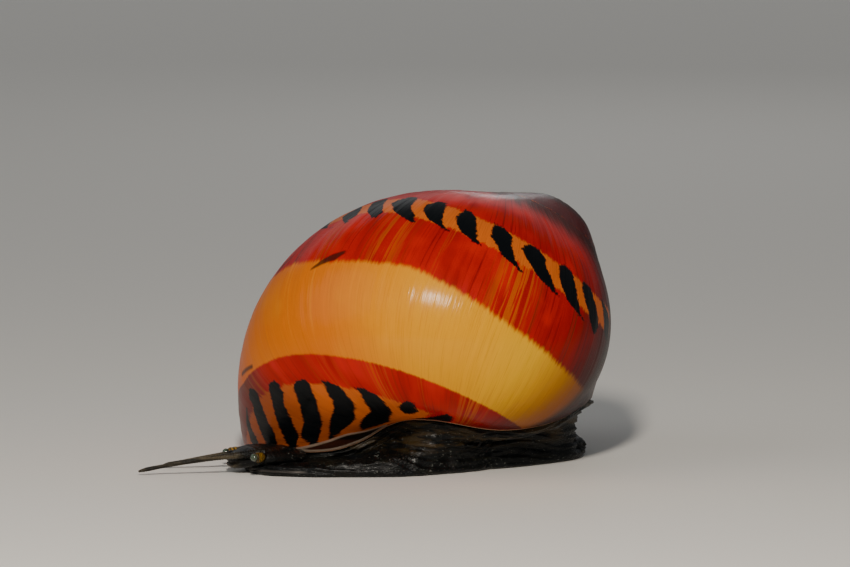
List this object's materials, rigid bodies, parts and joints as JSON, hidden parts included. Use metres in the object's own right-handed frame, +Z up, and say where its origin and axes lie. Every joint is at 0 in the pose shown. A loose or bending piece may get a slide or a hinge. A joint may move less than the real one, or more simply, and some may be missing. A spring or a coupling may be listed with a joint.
{
  "type": "nerite snail",
  "caption": "Crawling nerite snail at life size: a glossy red, orange and black banded globe shell over a dark foot, with head, feelers, eyes and operculum.",
  "frame": {"origin": "middle of the flat sole of the foot, on the surface that the snail crawls on", "axes": "+X from head to tail, -Y the animal's left side, +Z up"},
  "size_m": [0.0284, 0.021, 0.016],
  "materials": {
    "shell": "polished shell with a thin clear skin",
    "flesh": "wet dark skin",
    "feeler": "wet translucent skin with fine rings",
    "eye": "wet and glossy",
    "operculum": "smooth horny plate"
  },
  "bodies": {
    "root": {"shell": "shell", "mantle": "flesh", "foot": "flesh", "tail": "flesh", "head": "flesh", "snout": "flesh", "feeler_left_1": "feeler", "feeler_left_2": "feeler", "feeler_left_3": "feeler", "feeler_right_1": "feeler", "feeler_right_2": "feeler", "feeler_right_3": "feeler", "eye_stalk_left": "feeler", "eye_stalk_right": "feeler", "eye_left": "eye", "eye_right": "eye", "operculum": "operculum"}
  },
  "joints": []
}
